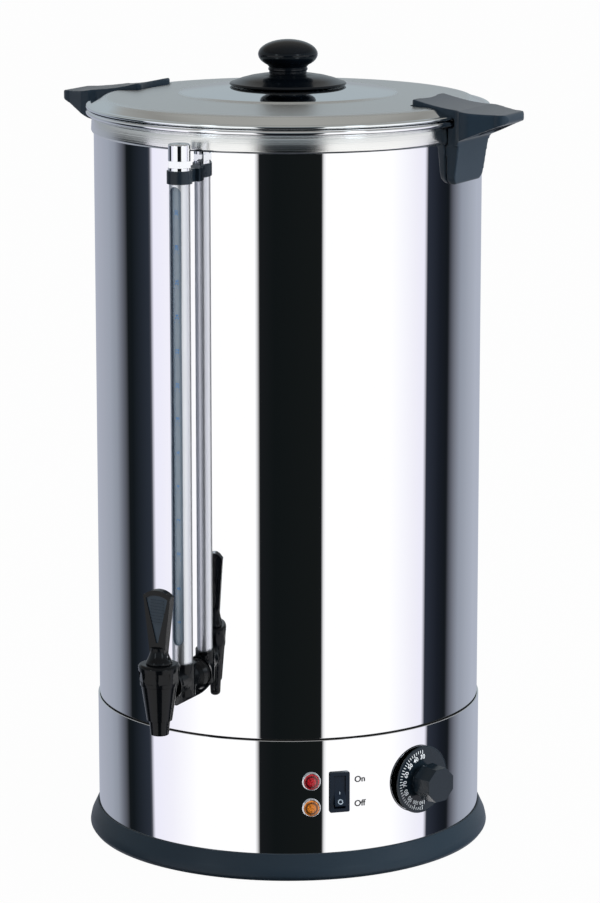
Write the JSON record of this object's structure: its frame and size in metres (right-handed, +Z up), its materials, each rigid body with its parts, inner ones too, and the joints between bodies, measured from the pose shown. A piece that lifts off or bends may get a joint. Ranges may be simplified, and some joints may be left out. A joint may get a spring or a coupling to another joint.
{
  "type": "hot water urn",
  "caption": "Tall round steel hot water urn with lift-off lid, side handles, level gauge and lever tap in front, and a skirt with rocker switch, lamps and thermostat dial",
  "frame": {"origin": "On the urn's axis, in the plane that its feet stand on.", "axes": "+Z is up along the tank's axis. -Y points to the front, where the tap is. +X points to the right of someone facing the tap, through one handle, and -X through the other."},
  "size_m": [0.4, 0.398, 0.648],
  "materials": {
    "polished_steel": "mirror polish",
    "brushed_band": "brushed round the urn",
    "lid_steel": "bright, finely spun",
    "plain_steel": "mill finish",
    "screw_steel": "plain",
    "bright_trim": "plated",
    "guard_aluminium": "satin anodised",
    "heater_aluminium": "cast",
    "base_plastic": "satin moulding",
    "handle_plastic": "matt moulding",
    "knob_plastic": "satin gloss",
    "tap_plastic": "satin gloss",
    "switch_plastic": "gloss",
    "dial_plastic": "satin with white figures",
    "block_plastic": "plain",
    "foot_rubber": "matt",
    "seal_rubber": "silicone",
    "gauge_clear": "clear",
    "red_lens": "clear tinted",
    "amber_lens": "clear tinted",
    "contact_brass": "plain"
  },
  "bodies": {
    "urn": {"tank_shell": "polished_steel", "tank_floor": "plain_steel", "rim_collar": "brushed_band", "control_skirt": "polished_steel", "base_ring": "base_plastic", "rubber_feet": "foot_rubber", "bottom_cover": "plain_steel", "cover_screws": "screw_steel", "handle_right": "handle_plastic", "handle_left": "handle_plastic", "handle_screws": "screw_steel", "gauge_guard": "guard_aluminium", "gauge_glass": "gauge_clear", "gauge_seal": "seal_rubber", "gauge_clamp": "tap_plastic", "clamp_screw": "screw_steel", "gauge_nut": "bright_trim", "gauge_cap": "bright_trim", "gauge_tee": "tap_plastic", "tee_outer_seal": "seal_rubber", "tee_inner_seal": "seal_rubber", "tee_back_nut": "plain_steel", "tap_body": "tap_plastic", "tap_bonnet": "tap_plastic", "red_lamp_bezel": "bright_trim", "red_lamp_lens": "red_lens", "amber_lamp_bezel": "bright_trim", "amber_lamp_lens": "amber_lens", "switch_housing": "switch_plastic", "switch_terminals": "contact_brass", "thermostat_body": "plain_steel", "thermostat_screws": "screw_steel", "heater_plate": "heater_aluminium", "heating_element": "plain_steel", "heater_nut": "screw_steel", "boil_dry_cutout": "contact_brass", "thermostat_bulb": "contact_brass", "cord_gland": "switch_plastic", "gland_nut": "switch_plastic", "terminal_block": "block_plastic"},
    "lid": {"lid_panel": "lid_steel", "knob_shield": "knob_plastic", "lid_knob": "knob_plastic", "knob_screw": "screw_steel"},
    "stem": {"tap_stem": "screw_steel", "seat_cup": "seal_rubber", "lever_pin": "screw_steel"},
    "lever": {"tap_lever": "tap_plastic"},
    "rocker": {"switch_rocker": "switch_plastic"},
    "dial": {"thermostat_knob": "dial_plastic", "thermostat_spindle": "screw_steel"}
  },
  "joints": [
    {"name": "lid_lift", "type": "slide", "parent": "urn", "child": "lid", "axis": [0, 0, 1], "range_m": [0, 0.12]},
    {"name": "tap_stem_lift", "type": "slide", "parent": "urn", "child": "stem", "axis": [0, 0, 1], "range_m": [0, 0.0044], "stiffness_N_per_m": 600, "springref_m": -0.005},
    {"name": "tap_lever_tilt", "type": "hinge", "parent": "stem", "child": "lever", "pos_m": [0, -0.2113, 0.1905], "axis": [1, 0, 0], "range_deg": [0, 28]},
    {"name": "switch_rock", "type": "hinge", "parent": "urn", "child": "rocker", "pos_m": [0.10388, -0.11179, 0.0713], "axis": [0.7325, 0.6807, 0], "range_deg": [0, 20]},
    {"name": "thermostat_turn", "type": "hinge", "parent": "urn", "child": "dial", "pos_m": [0.14641, -0.05387, 0.0716], "axis": [-0.9385, 0.3453, 0], "range_deg": [0, 180]}
  ],
  "couplings": [
    {"joint": "tap_lever_tilt", "follows": "tap_stem_lift", "rad_per_m": 111}
  ]
}
